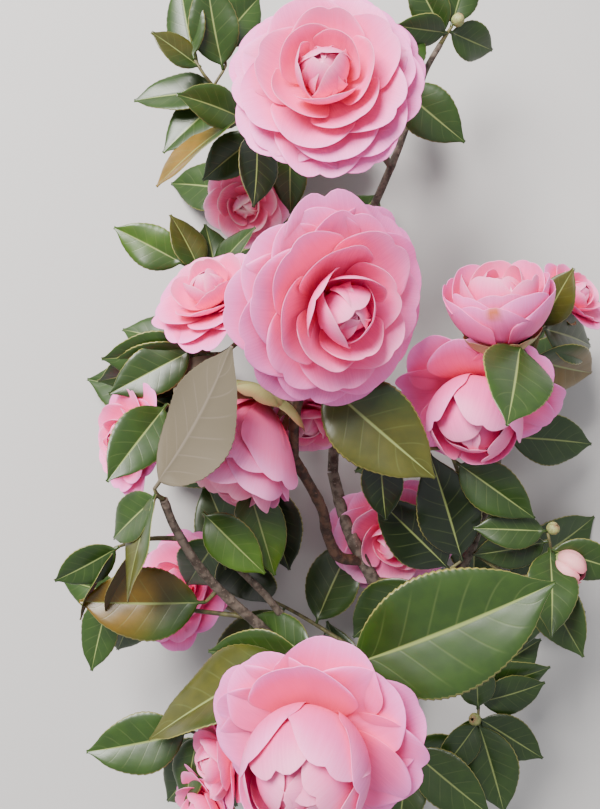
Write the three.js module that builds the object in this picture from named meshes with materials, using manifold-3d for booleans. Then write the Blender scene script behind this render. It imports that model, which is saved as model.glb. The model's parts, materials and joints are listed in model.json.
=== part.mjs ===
// A cut branch of a pink double camellia, lying on its back with its blooms upward.
// Millimetres, +Z up. The branch lies along +Y, from the flat cut of its main stem to its top leaves.

import * as THREE from 'three';
import { mergeVertices } from 'three/addons/utils/BufferGeometryUtils.js';
import Module from 'manifold-3d';

const wasm = await Module();
wasm.setup();

// Driving sizes
const CLEARANCE = 0.3;          // gap between neighbouring solids
const BLOOM = 78;               // a full, open bloom across
const PETAL_THICK = 1.1;
const LEAF_THICK = 1.0;         // at the midrib, more than a hundredth of the longest leaf
const LEAF_SLENDER = 0.28;      // half-width of a leaf over its length
const LEAF_FOLD = 0.22;         // how far the blade's halves rise from the midrib
const LEAF_ARCH = 0.13;         // how far the tip bends back, over the length
const TWIG = 1.3;               // radius of a leafy twig at its foot
const TWIG_TIP = 0.7;
const STEP = 18;                // between the rings of a limb
const STEM_SIDES = 6;
const TWIG_SIDES = 3;
const GOLDEN_ANGLE = THREE.MathUtils.degToRad(137.5);

const v = (x, y, z) => new THREE.Vector3(x, y, z);
const rad = THREE.MathUtils.degToRad;
const mix = THREE.MathUtils.lerp;

// Finishes
const BARK = new THREE.MeshStandardMaterial({ color: 0x6b5446, roughness: 0.85, metalness: 0 });
const PINK = new THREE.MeshStandardMaterial({ color: 0xec8fb4, roughness: 0.6, metalness: 0 });
const GREEN = new THREE.MeshStandardMaterial({ color: 0x3f5a22, roughness: 0.35, metalness: 0 });

// A closed skin carried through rings of points, each turning the same way about the path.
// The two end rings are closed by a zigzag of triangles, which also suits a thin curved section.
function loft(rings) {
  const count = rings[0].length;
  const faces = [];
  for (let i = 0; i + 1 < rings.length; i++) {
    for (let j = 0; j < count; j++) {
      const a = i * count + j;
      const b = i * count + (j + 1) % count;
      faces.push(a, b, b + count, a, b + count, a + count);
    }
  }
  const last = (rings.length - 1) * count;
  let low = 0;
  let high = count - 1;
  while (low + 1 < high) {
    faces.push(low, high, low + 1, last + low, last + low + 1, last + high);
    low += 1;
    if (low + 1 < high) {
      faces.push(low, high, high - 1, last + low, last + high - 1, last + high);
      high -= 1;
    }
  }
  const geometry = new THREE.BufferGeometry();
  const places = rings.flat().flatMap((p) => [p.x, p.y, p.z]);
  geometry.setAttribute('position', new THREE.Float32BufferAttribute(places, 3));
  geometry.setIndex(faces);
  return geometry;
}

// The middle line of a limb: points on a smooth curve, about one every STEP. A path starts at
// [limb, share], a place on the limb that carries it, or at a point of its own.
const lines = {};

function pointOn(line, share) {
  const at = share * (line.length - 1);
  const low = Math.min(Math.floor(at), line.length - 2);
  return line[low].clone().lerp(line[low + 1], at - low);
}

function lineOf(path) {
  const [first, ...rest] = path;
  const start = typeof first[0] === 'string' ? pointOn(lines[first[0]], first[1]) : v(...first);
  const curve = new THREE.CatmullRomCurve3([start, ...rest.map((p) => v(...p))], false, 'centripetal');
  return curve.getSpacedPoints(Math.max(2, Math.round(curve.getLength() / STEP)));
}

// A round limb along its middle line, tapering evenly. Each ring is turned the same way as the last.
// The foot of the main stem is cut square to Y, so its first ring lies in one plane.
function limb(line, foot, tip, sides, grow, squareCut = false) {
  let side = null;
  const rings = line.map((centre, i) => {
    const ahead = line[Math.min(i + 1, line.length - 1)].clone().sub(line[Math.max(i - 1, 0)]).normalize();
    if (squareCut && i === 0) ahead.set(0, 1, 0);
    const last = side ?? (Math.abs(ahead.x) < 0.9 ? v(1, 0, 0) : v(0, 1, 0));
    side = last.clone().addScaledVector(ahead, -last.dot(ahead)).normalize();
    const other = ahead.clone().cross(side);
    const radius = mix(foot, tip, i / (line.length - 1)) + grow;
    return Array.from({ length: sides }, (_, j) => {
      const turn = (2 * Math.PI * j) / sides;
      const point = centre.clone().addScaledVector(side, radius * Math.cos(turn));
      return point.addScaledVector(other, radius * Math.sin(turn));
    });
  });
  return loft(rings);
}

// A thin blade through stations, each with its centre, direction, normal, half-width and thickness.
// Its section is a lens of four corners: two rims, and the middle of the top and of the underside.
// lift tells where a point of the section lies, and what would reach below the floor lies flat on it.
function blade(stations, grow) {
  const rings = stations.map(({ centre, along, normal, half, thick, lift }, index) => {
    const across = normal.clone().cross(along);
    const end = (index === 0 ? -1 : 0) + (index === stations.length - 1 ? 1 : 0);
    const corner = (x, rise, floor) => {
      const { side, up } = lift(x);
      const point = centre.clone().addScaledVector(along, end * grow);
      point.addScaledVector(across, side).addScaledVector(normal, up + rise);
      point.z = Math.max(point.z, floor - grow);
      return point;
    };
    const wide = half + grow;
    const deep = thick / 2 + grow;
    return [corner(wide, 0, deep), corner(0, deep, 2 * deep), corner(-wide, 0, deep), corner(0, -deep, 0)];
  });
  return loft(rings);
}

// Direction of a heading in the picture plane (0 is +X, 90 is +Y) and a rise toward +Z, in degrees.
function aim(heading, rise) {
  const flat = Math.cos(rad(rise));
  return v(flat * Math.cos(rad(heading)), flat * Math.sin(rad(heading)), Math.sin(rad(rise)));
}

// One leaf: a short stalk, then an ovate pointed blade, folded along its midrib and arched back.
// turn rolls it about its length, and 180 shows the underside.
function leaf(root, [, heading, rise, length, turn], grow) {
  const along = aim(heading, rise);
  const normal = v(0, 0, 1).addScaledVector(along, -along.z).normalize().applyAxisAngle(along, rad(turn));
  const shape = [[0, 0.02], [0.34, 0.92], [0.68, 0.84], [1, 0.03]];
  const fold = (x) => ({ side: x, up: Math.abs(x) * LEAF_FOLD });
  const stations = shape.map(([s, share]) => {
    const bend = LEAF_ARCH * s * s;
    const centre = root.clone().addScaledVector(along, length * s).addScaledVector(normal, -length * bend);
    const slope = along.clone().addScaledVector(normal, -2 * LEAF_ARCH * s).normalize();
    const facing = normal.clone().addScaledVector(along, 2 * LEAF_ARCH * s).normalize();
    const half = Math.max(share * LEAF_SLENDER * length, 0.6);
    return { centre, along: slope, normal: facing, half, thick: LEAF_THICK, lift: fold };
  });
  return blade(stations, grow);
}

// How the petals change from the rim of a bloom (0) to its heart (1), as shares of its radius:
// elevation at the root and at the tip in degrees, length, half-width and radius of the petal's cup.
// A full bloom is open and flat round an upright heart, a globe keeps a closed ball on a skirt of
// outer petals, and a cup is half open.
const STAGES = {
  full: [
    [0.00, 24, -14, 1.00, 0.49, 1.80],
    [0.30, 20, 4, 0.90, 0.48, 1.30],
    [0.50, 14, 30, 0.80, 0.45, 0.90],
    [0.64, 8, 74, 0.70, 0.39, 0.60],
    [0.80, 24, 104, 0.58, 0.32, 0.38],
    [1.00, 60, 118, 0.44, 0.20, 0.20],
  ],
  globe: [
    [0.00, 26, -16, 0.96, 0.50, 1.40],
    [0.36, 20, 6, 0.90, 0.50, 1.00],
    [0.44, 4, 168, 1.50, 0.50, 0.58],
    [0.80, 4, 174, 1.34, 0.44, 0.50],
    [1.00, 20, 170, 1.00, 0.34, 0.32],
  ],
  cup: [
    [0.00, 28, 82, 1.00, 0.48, 0.62],
    [0.50, 36, 96, 0.90, 0.42, 0.42],
    [1.00, 60, 106, 0.72, 0.26, 0.24],
  ],
};

function stageAt(rows, share) {
  const next = Math.max(1, rows.findIndex((row) => row[0] >= share));
  const [a, b] = [rows[next - 1], rows[next]];
  const t = (share - a[0]) / (b[0] - a[0]);
  return a.map((value, column) => mix(value, b[column], t));
}

// One petal in its bloom's own frame, whose axis is +Z: it leaves the heart at the turn given, and
// its middle line is an arc from the root's elevation to the tip's, its section an arc as well.
function petal(stage, turn, radius, grow) {
  const [share, start, end, length, half, cup] = stage;
  const outward = v(Math.cos(turn), Math.sin(turn), 0);
  const shape = [[0, 0.2], [0.4, 0.8], [0.8, 1], [1, 0.45]];
  const steps = 24;
  const centres = [outward.clone().multiplyScalar(0.06 * radius).setZ(radius * (0.02 + 0.2 * share))];
  const tilt = (s) => rad(mix(start, end, s));
  for (let i = 0; i < steps; i++) {
    const step = (length * radius) / steps;
    const angle = tilt((i + 0.5) / steps);
    const ahead = outward.clone().multiplyScalar(Math.cos(angle) * step).setZ(Math.sin(angle) * step);
    centres.push(centres[i].clone().add(ahead));
  }
  const bend = cup * radius;
  const curl = (x) => ({ side: bend * Math.sin(x / bend), up: bend * (1 - Math.cos(x / bend)) });
  const stations = shape.map(([s, width]) => {
    const angle = tilt(s);
    const along = outward.clone().multiplyScalar(Math.cos(angle)).setZ(Math.sin(angle));
    const normal = outward.clone().multiplyScalar(-Math.sin(angle)).setZ(Math.cos(angle));
    const centre = centres[Math.round(s * steps)];
    return { centre, along, normal, half: width * half * radius, thick: PETAL_THICK, lift: curl };
  });
  return blade(stations, grow);
}

// A round body about +Z through [radius, height] pairs, for a calyx, a heart or a bud.
function turned(profile, sides, grow) {
  const [low, high] = [profile[0][1], profile[profile.length - 1][1]];
  const points = [new THREE.Vector2(0, low - grow)];
  for (const [r, z] of profile) points.push(new THREE.Vector2(r + grow, z));
  points.push(new THREE.Vector2(0, high + grow));
  return new THREE.LatheGeometry(points, sides);
}

// The pieces of one bloom: petals by the golden angle from rim to heart, calyx, heart and stalk.
// open is the share of outer petals that are missing: 0 for a bloom with all of them.
function bloom({ at, face, across, form, petals, open, stalk, turn }, grow) {
  const radius = across / 2;
  const axis = aim(...face);
  const centre = v(...at);
  const stand = new THREE.Quaternion().setFromUnitVectors(v(0, 0, 1), axis);
  const pieces = [];
  for (let k = 0; k < petals; k++) {
    const share = mix(open, 1, k / (petals - 1));
    pieces.push(petal(stageAt(STAGES[form], share), rad(turn) + k * GOLDEN_ANGLE, radius, grow));
  }
  const calyx = [[0.1, -0.14], [0.24, -0.02], [0.1, 0.2]];
  const heart = [[0.06, 0.1], [0.13, 0.34], [0.04, 0.58]];
  for (const profile of [calyx, heart]) {
    pieces.push(turned(profile.map(([r, z]) => [r * radius, z * radius]), 5, grow));
  }
  for (const piece of pieces) piece.applyQuaternion(stand).translate(...centre.toArray());
  const base = centre.clone().addScaledVector(axis, -0.06 * radius);
  const bend = centre.clone().addScaledVector(axis, -0.3 * radius);
  const line = lineOf([stalk, bend.toArray(), base.toArray()]);
  pieces.push(limb(line, TWIG, TWIG + 0.4, TWIG_SIDES, grow));
  return pieces;
}

// The pieces of one mass: its twigs, and leaves set along them in the order of their roots.
// Each leaf is [place along the twig, heading, rise, length, turn]. A bud is [place, heading, rise, size].
function mass({ twigs, leaves, buds = [] }, grow) {
  const pieces = [];
  twigs.forEach((path, index) => {
    const line = lineOf(path);
    pieces.push(limb(line, index ? TWIG_TIP : TWIG, TWIG_TIP, TWIG_SIDES, grow));
    for (const row of leaves[index]) pieces.push(leaf(pointOn(line, row[0]), row, grow));
    for (const [place, heading, rise, size] of buds[index] ?? []) {
      const axis = aim(heading, rise);
      const root = pointOn(line, place).addScaledVector(axis, -0.6);
      const profile = [[0.25, 0], [0.5, 0.5], [0.12, 1.15]];
      const bud = turned(profile.map(([r, z]) => [r * size, z * size]), 6, grow);
      bud.applyQuaternion(new THREE.Quaternion().setFromUnitVectors(v(0, 0, 1), axis));
      pieces.push(bud.translate(...root.toArray()));
    }
  });
  return pieces;
}

// A mass whose leaves follow a seeded rule: by turns left and right of the twig, a little at random.
function thicket({ path, count, length, spread, rise, seed }) {
  let state = seed;
  const chance = (low, high) => {
    state = (state * 16807) % 2147483647;
    return mix(low, high, state / 2147483647);
  };
  const from = path[path.length - 2];
  const to = path[path.length - 1];
  const heading = THREE.MathUtils.radToDeg(Math.atan2(to[1] - from[1], to[0] - from[0]));
  const leaves = [];
  for (let k = 0; k < count; k++) {
    const place = mix(0.35, 1, k / (count - 1));
    const side = k % 2 ? 1 : -1;
    const fan = side * mix(spread, spread * 0.15, k / (count - 1));
    const size = length * chance(0.85, 1.15);
    leaves.push([place, heading + fan + chance(-12, 12), rise + chance(-10, 14), size, side * chance(0, 25)]);
  }
  return { twigs: [path], leaves: [leaves] };
}

// The main stem and its boughs: the path of each, its radius at the foot and at the tip.
const LIMBS = {
  main_stem: [[[60, -255, 4.85], [57, -205, 13], [55, -155, 22], [54, -130, 27]], 5.6, 4.2],
  bough_grey_low: [
    [['main_stem', 0.97], [40, -95, 44], [33, -82, 50], [24, -62, 53], [17, -35, 51]],
    3.8, 2.9,
  ],
  bough_grey_high: [[['bough_grey_low', 1], [20, 10, 50], [31, 66, 54], [38, 102, 60]], 2.8, 2.2],
  bough_grey_tip: [[['bough_grey_high', 1], [50, 130, 65], [62, 165, 74], [69, 177, 78]], 2.1, 1.4],
  bough_dark: [
    [['bough_grey_low', 0.55], [20, -78, 58], [14, -66, 66], [11, -52, 75], [-3, -25, 94]],
    2.9, 2.4,
  ],
  bough_knee: [[['bough_dark', 1], [-2, -4, 108], [4, 16, 114], [10, 34, 118]], 2.4, 2.1],
  bough_left: [
    [['main_stem', 0.95], [0, -124, 74], [-24, -101, 92], [-43, -79, 106], [-55, -55, 122], [-59, -41, 131]],
    3.2, 1.8,
  ],
  bough_left_inner: [[['bough_left', 0.31], [-6, -107, 78], [-18, -90, 88], [-31, -75, 98]], 2.2, 1.5],
  bough_right: [
    [['main_stem', 0.96], [78, -102, 42], [93, -60, 56], [99, -24, 70], [97, 2, 84], [93, 18, 96]],
    3.2, 2,
  ],
  twig_top: [[['bough_grey_tip', 0.25], [34, 130, 84], [22, 133, 106], [14, 133, 120]], 1.9, 1.6],
  twig_bottom: [[['bough_left', 0.33], [9, -121, 90], [10, -118, 118], [12, -118, 139]], 2.1, 1.6],
  twig_bottom_left: [[['bough_left', 0.17], [4, -150, 72], [-14, -153, 92], [-22, -153, 104]], 2, 1.5],
  twig_left: [[['bough_knee', 0.4], [-14, 16, 100], [-24, 28, 97], [-32, 37, 98]], 1.7, 1.4],
  twig_left_low: [[['bough_dark', 0.97], [-24, -16, 82], [-42, -12, 84], [-56, -14, 90]], 1.8, 1.4],
};

// The blooms: centre, facing [heading, rise], size across, form, number of petals, share missing at
// the rim, and where the stalk leaves its bough. turn sets the first petal's place about the axis.
const BLOOMS = {
  bloom_centre: {
    at: [10, 45, 132], face: [-36, 57], across: 1.2 * BLOOM, form: 'full', petals: 12, open: 0,
    stalk: ['bough_knee', 1], turn: 45,
  },
  bloom_top: {
    at: [12, 134, 134], face: [130, 80], across: 1.08 * BLOOM, form: 'full', petals: 12, open: 0,
    stalk: ['twig_top', 1], turn: 21,
  },
  bloom_bottom: {
    at: [9, -130, 150], face: [-125, 66], across: 1.18 * BLOOM, form: 'globe', petals: 12, open: 0,
    stalk: ['twig_bottom', 1], turn: 21,
  },
  bloom_left: {
    at: [-36, 43, 114], face: [120, 42], across: 0.8 * BLOOM, form: 'full', petals: 8, open: 0.05,
    stalk: ['twig_left', 1], turn: 0,
  },
  bloom_left_low: {
    at: [-74, -16, 97], face: [180, 22], across: 0.72 * BLOOM, form: 'full', petals: 8, open: 0.15,
    stalk: ['twig_left_low', 1], turn: 9,
  },
  bloom_under: {
    at: [-17, 2, 112], face: [-118, 12], across: 1.28 * BLOOM, form: 'cup', petals: 8, open: 0,
    stalk: ['bough_knee', 0.44], turn: 9,
  },
  bloom_behind: {
    at: [4, -1, 84], face: [-90, 40], across: 0.7 * BLOOM, form: 'full', petals: 6, open: 0.3,
    stalk: ['bough_grey_high', 0.27], turn: 25,
  },
  bloom_right: {
    at: [86, 12, 90], face: [-108, 38], across: 1.04 * BLOOM, form: 'globe', petals: 8, open: 0,
    stalk: ['bough_right', 0.96], turn: 0,
  },
  bloom_right_cup: {
    at: [91, 27, 113], face: [98, 26], across: 1.02 * BLOOM, form: 'cup', petals: 8, open: 0,
    stalk: ['bough_right', 1], turn: 57,
  },
  bloom_far_low: {
    at: [48, -66, 38], face: [-80, 66], across: 0.92 * BLOOM, form: 'full', petals: 8, open: 0.05,
    stalk: ['bough_grey_low', 0.47], turn: 9,
  },
  bloom_left_hidden: {
    at: [-58, -98, 44], face: [150, 50], across: 0.85 * BLOOM, form: 'full', petals: 8, open: 0.1,
    stalk: ['bough_left', 0.55], turn: 0,
  },
  bloom_bottom_left: {
    at: [-28, -156, 118], face: [-170, 26], across: 0.7 * BLOOM, form: 'full', petals: 6, open: 0.3,
    stalk: ['twig_bottom_left', 1], turn: 0,
  },
  bloom_bottom_edge: {
    at: [-38, -186, 98], face: [-160, 40], across: 0.66 * BLOOM, form: 'full', petals: 6, open: 0.3,
    stalk: ['twig_bottom_left', 0.8], turn: 0,
  },
  bloom_top_left: {
    at: [-28, 104, 58], face: [-80, 66], across: 0.64 * BLOOM, form: 'full', petals: 6, open: 0.3,
    stalk: ['bough_grey_high', 0.93], turn: 0,
  },
  bloom_far_right: {
    at: [130, 49, 74], face: [40, 40], across: 0.62 * BLOOM, form: 'full', petals: 6, open: 0.35,
    stalk: ['bough_right', 0.88], turn: 9,
  },
};

// The leafy masses: twigs, and the leaves on each twig.
const MASSES = {
  leaves_broad: {
    twigs: [[['twig_bottom', 0.62], [14, -118, 121], [19, -115, 126]]],
    leaves: [[[1, 21, 12, 98, 0]]],
  },
  leaves_top_left: {
    twigs: [
      [['twig_top', 0.65], [-2, 142, 92], [-28, 146, 92], [-40, 147, 104], [-48, 157, 110]],
      [[-40, 147, 104], [-34, 159, 104], [-40, 165, 106]],
    ],
    leaves: [
      [[0.78, -178, 0, 42, 25], [1, 104, 4, 38, -25], [0.95, 150, 31, 26, 20], [0.72, -143, 8, 42, 20]],
      [[0.9, 56, -8, 36, 10], [0.4, 104, 30, 40, -10], [1, 102, -16, 34, 40]],
    ],
  },
  leaves_top_left_low: {
    twigs: [[['twig_top', 0.4], [-8, 130, 80], [-23, 129, 98], [-27, 132, 108]]],
    leaves: [
      [[0.95, 167, 45, 36, 10], [1, -147, 2, 50, 58], [0.75, -147, -10, 36, 0],
        [0.8, -86, 22, 40, -30], [0.5, -92, -14, 36, 20]],
    ],
  },
  leaves_top_right: {
    twigs: [[['bough_grey_tip', 1], [71, 180, 80], [74, 184, 83]]],
    leaves: [
      [[0.4, 124, 22, 34, -20], [0.6, -171, 33, 30, -50], [0.9, 75, 5, 34, 10],
        [0.7, -7, -34, 34, 20]],
    ],
    buds: [[[1, 40, 30, 8]]],
  },
  leaves_top_right_low: {
    twigs: [[['bough_grey_tip', 0.76], [52, 158, 84], [46, 152, 92]]],
    leaves: [[[1, -42, 3, 42, 10], [0.8, 80, -10, 36, 0]]],
  },
  leaves_left_upper: {
    twigs: [[['twig_left', 0.7], [-28, 46, 82], [-44, 62, 78], [-56, 68, 82]]],
    leaves: [
      [[1, 152, 12, 38, 0], [0.86, 112, 8, 32, 30], [0.78, 52, 24, 34, -50],
        [0.7, 100, -10, 34, 10], [0.62, 124, -14, 48, 50]],
    ],
  },
  leaves_left_middle: {
    twigs: [[['twig_left', 0.85], [-38, 24, 92], [-50, 26, 97]]],
    leaves: [
      [[1, -150, 14, 44, 5], [0.9, -172, 6, 46, -20], [0.75, 162, -10, 46, 15],
        [0.7, -163, -4, 58, -35], [0.6, -122, 12, 34, 170], [0.5, -100, 4, 34, 120]],
    ],
  },
  leaves_left_droop: {
    twigs: [[['twig_left_low', 0.8], [-54, -4, 104], [-60, 0, 114]]],
    leaves: [[[1, -124, 36, 45, -4], [0.3, 148, -22, 38, 22]]],
  },
  leaves_left_lower: {
    twigs: [[['bough_left', 1], [-61, -39, 134], [-62, -36, 137]]],
    leaves: [[[1, 53, 14, 72, 142], [0.7, -114, -10, 52, 60], [0.5, -139, -26, 38, 30]]],
  },
  leaves_left_outer: {
    twigs: [[['bough_left', 0.88], [-70, -61, 112], [-85, -66, 104]]],
    leaves: [[[1, -125, -7, 40, 80], [0.95, -148, 4, 34, -20], [0.5, -126, -20, 46, 100]]],
  },
  leaves_left_under: {
    twigs: [[['bough_left', 0.7], [-42, -90, 102], [-44, -92, 101]]],
    leaves: [[[1, -179, 9, 58, 0]]],
  },
  leaves_left_far: {
    twigs: [[['bough_left', 0.58], [-66, -98, 82], [-93, -92, 78]]],
    leaves: [[[1, -105, 6, 40, 20], [0.8, -113, -23, 38, -20], [0.9, 170, -10, 36, 0]]],
  },
  leaves_centre_left: {
    twigs: [[['bough_left_inner', 1], [-37, -64, 100], [-45, -50, 103]]],
    leaves: [[[1, -44, 12, 40, 10], [0.5, -126, -34, 44, 0], [0.3, -60, -34, 50, 20]]],
  },
  leaves_knee: {
    twigs: [[['bough_dark', 0.96], [-17, -31, 95], [-25, -36, 100]]],
    leaves: [[[1, -72, 8, 46, -30], [0.72, -76, -14, 54, 10]]],
  },
  leaves_centre: {
    twigs: [[['bough_knee', 0.6], [6, 11, 109], [9, 12, 106]]],
    leaves: [[[1, -42, 12, 69, 6]]],
  },
  leaves_centre_right: {
    twigs: [[['bough_grey_low', 0.44], [66, -90, 60], [81, -78, 70]]],
    leaves: [[[1, 108, 20, 58, 0], [0.84, 135, 18, 54, -10], [0.5, -136, -20, 54, 10]]],
  },
  leaves_right_inner: {
    twigs: [[['bough_right', 0.66], [81, -38, 76], [71, -22, 86], [50, -22, 92], [38, -20, 94]]],
    leaves: [[[0.44, -36, 14, 46, 10], [1, -88, -3, 36, 5], [0.8, 200, -28, 34, 20]]],
  },
  leaves_right: {
    twigs: [[['bough_right', 0.98], [104, 17, 104], [102, 20, 118], [96, 26, 127]]],
    leaves: [[[1, -117, 57, 57, 0]]],
  },
  leaves_far_right: {
    twigs: [[['bough_right', 0.9], [110, 22, 92], [114, 36, 94]]],
    leaves: [[[1, 73, 35, 32, -20], [0.6, -12, -32, 52, 30], [1, -6, -38, 50, -10]]],
  },
  leaves_right_low: {
    twigs: [[['bough_right', 0.41], [110, -88, 62], [124, -78, 74], [121, -62, 80]]],
    leaves: [
      [[0.86, -98, 44, 46, 0], [0.6, -68, 22, 46, 20], [0.85, -16, 10, 38, 10], [1, 176, 7, 36, 15],
        [0.92, -160, -23, 40, -15], [0.5, -94, -15, 48, 0]],
    ],
    buds: [[[0.78, -30, 30, 17], [1, 40, 40, 8]]],
  },
  leaves_low_right: {
    twigs: [[['main_stem', 0.81], [76, -150, 40], [92, -148, 50], [91, -162, 60]]],
    leaves: [
      [[1, -128, 15, 34, 0], [0.95, -101, -18, 34, 10], [0.9, 96, 28, 34, 0], [0.85, 14, 7, 36, 0],
        [0.97, -30, 11, 38, 0], [0.7, 14, 9, 42, 10], [1, -73, 8, 48, 10], [0.62, 30, -5, 50, -10]],
    ],
    buds: [[[0.98, 160, 50, 8], [0.8, 20, 60, 8]]],
  },
  leaves_lower_left: {
    twigs: [[['twig_bottom', 0.37], [3, -116, 108], [-4, -111, 120]]],
    leaves: [
      [[1, -153, 0, 76, 62], [0.5, -178, -8, 48, -10], [0.4, -158, -16, 66, 10],
        [0.2, 157, -30, 44, 20]],
    ],
  },
  leaves_bottom_left: {
    twigs: [[['twig_bottom_left', 0.85], [-32, -160, 96], [-51, -152, 101]]],
    leaves: [
      [[1, -168, 12, 48, 5], [0.9, -104, 0, 38, 40], [0.7, -80, -14, 42, 10],
        [0.6, -130, -20, 54, 20]],
    ],
  },
  leaves_bottom_right: {
    twigs: [[['main_stem', 0.63], [56, -177, 44], [55, -174, 64]]],
    leaves: [
      [[1, -37, 20, 50, 0], [0.85, -98, 24, 44, 10], [0.7, -21, 0, 46, 10], [0.6, 200, 10, 44, 0]],
    ],
  },
  leaves_back_top: thicket({
    path: [['bough_grey_tip', 0.36], [40, 150, 34], [20, 168, 22]],
    count: 4, length: 60, spread: 75, rise: -18, seed: 11,
  }),
  leaves_back_top_left: thicket({
    path: [['bough_grey_high', 0.69], [4, 92, 32], [-28, 116, 24]],
    count: 4, length: 60, spread: 80, rise: -15, seed: 23,
  }),
  leaves_back_left: thicket({
    path: [['bough_grey_high', 0.11], [-18, -14, 34], [-56, 0, 26]],
    count: 4, length: 62, spread: 80, rise: -18, seed: 37,
  }),
  leaves_back_low_left: thicket({
    path: [['bough_left', 0.14], [-4, -112, 32], [-42, -96, 22]],
    count: 4, length: 62, spread: 85, rise: -13, seed: 41,
  }),
  leaves_back_right: thicket({
    path: [['bough_right', 0.65], [112, -8, 40], [120, 26, 24]],
    count: 4, length: 62, spread: 85, rise: -14, seed: 59,
  }),
  leaves_back_low_right: thicket({
    path: [['bough_right', 0.17], [92, -104, 24], [116, -96, 16]],
    count: 4, length: 60, spread: 85, rise: -10, seed: 67,
  }),
  leaves_back_bottom: thicket({
    path: [['main_stem', 0.73], [24, -172, 22], [-10, -180, 20]],
    count: 4, length: 60, spread: 80, rise: -12, seed: 71,
  }),
};

function asManifold(geometry) {
  geometry.deleteAttribute('normal');
  geometry.deleteAttribute('uv');
  const merged = mergeVertices(geometry, 1e-4);
  const vertProperties = new Float32Array(merged.attributes.position.array);
  const triVerts = new Uint32Array(merged.index.array);
  return new wasm.Manifold(new wasm.Mesh({ numProp: 3, vertProperties, triVerts }));
}

const fuse = (pieces) => pieces.map(asManifold).reduce((all, next) => all.add(next));

const meets = (a, b) => [0, 1, 2].every((axis) => a.min[axis] < b.max[axis] && b.min[axis] < a.max[axis]);

const branch = new THREE.Group();
const settled = [];

// Puts a solid on the branch: its pieces are fused, what is already there is cut from it with the
// clearance, and its largest body is kept.
function settle(name, makePieces, material) {
  let solid = fuse(makePieces(0));
  const box = solid.boundingBox();
  for (const earlier of settled) {
    if (meets(box, earlier.box)) solid = solid.subtract(earlier.grown);
  }
  const bodies = solid.decompose();
  const whole = bodies.reduce((best, next) => (next.volume() > best.volume() ? next : best));
  const grown = fuse(makePieces(CLEARANCE)).add(whole);
  settled.push({ grown, box: grown.boundingBox() });
  const mesh = whole.getMesh();
  const geometry = new THREE.BufferGeometry();
  geometry.setAttribute('position', new THREE.BufferAttribute(mesh.vertProperties, 3));
  geometry.setIndex(new THREE.BufferAttribute(mesh.triVerts, 1));
  geometry.computeVertexNormals();
  const part = new THREE.Mesh(geometry, material.clone());
  part.name = name;
  branch.add(part);
}

for (const [name, [path, foot, tip]] of Object.entries(LIMBS)) {
  lines[name] = lineOf(path);
  settle(name, (grow) => [limb(lines[name], foot, tip, STEM_SIDES, grow, name === 'main_stem')], BARK);
}
for (const [name, values] of Object.entries(BLOOMS)) settle(name, (grow) => bloom(values, grow), PINK);
for (const [name, values] of Object.entries(MASSES)) settle(name, (grow) => mass(values, grow), GREEN);

// The origin is under the middle of the branch, on what it lies on.
const extent = new THREE.Box3().setFromObject(branch);
const middle = extent.getCenter(v(0, 0, 0));
branch.position.set(-middle.x, -middle.y, -extent.min.z);

export default branch;
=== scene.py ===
# A cut camellia branch with pink double blooms, lying on its back on a pale floor.
# Sizes in the tables are millimetres in the branch's own drawing frame; every mesh is in metres.

import json
import math

import bpy
import numpy as np
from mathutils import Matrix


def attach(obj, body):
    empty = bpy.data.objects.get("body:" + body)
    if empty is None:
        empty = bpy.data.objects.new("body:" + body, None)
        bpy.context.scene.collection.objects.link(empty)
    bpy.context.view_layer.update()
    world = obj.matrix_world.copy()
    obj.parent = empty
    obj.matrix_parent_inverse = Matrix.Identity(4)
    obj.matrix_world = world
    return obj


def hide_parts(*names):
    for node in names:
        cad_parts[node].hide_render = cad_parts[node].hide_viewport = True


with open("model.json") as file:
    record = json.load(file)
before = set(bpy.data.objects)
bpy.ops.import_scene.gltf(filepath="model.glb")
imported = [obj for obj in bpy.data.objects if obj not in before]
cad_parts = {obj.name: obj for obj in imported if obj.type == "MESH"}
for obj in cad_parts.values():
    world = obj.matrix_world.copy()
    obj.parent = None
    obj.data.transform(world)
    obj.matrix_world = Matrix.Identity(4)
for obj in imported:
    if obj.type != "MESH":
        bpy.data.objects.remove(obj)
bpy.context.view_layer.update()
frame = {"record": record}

# Stems: the main stem, its boughs and the short stems that carry the blooms, in grey and brown bark.
# Each is a round limb along a smooth path, which starts at the cut or in the limb that carries it,
# with a swelling and a ring where each leaf once stood, and fine ridges.

CUT_CENTRE = (60, -255, 4.85)
CUT_CLEARANCE = 0.05
FLOOR_CLEARANCE = 0.02
LINE_STEP = 18
CURVE_STEPS = 200
RING_GAP = 0.9
LIMB_SIDES = 20
# Marks of the bark: gaps, places and widths along the limb, and swells as shares of its radius.
SCAR_GAP = (17, 25)
SCAR_WIDTH = 2.2
SCAR_SWELL = 0.12
SCAR_RING_AT = 4
SCAR_RING_WIDTH = 0.8
SCAR_RING_SWELL = 0.05
RIDGE_SWELL = 0.018
PIT_SWELL = 0.02
GREY_DARK = (0.055, 0.038, 0.028)
GREY_PALE = (0.15, 0.115, 0.09)
BROWN_DARK = (0.03, 0.012, 0.007)
BROWN_PALE = (0.1, 0.045, 0.025)
PALE_SPECK = 1.5
SEED = 7
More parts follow.
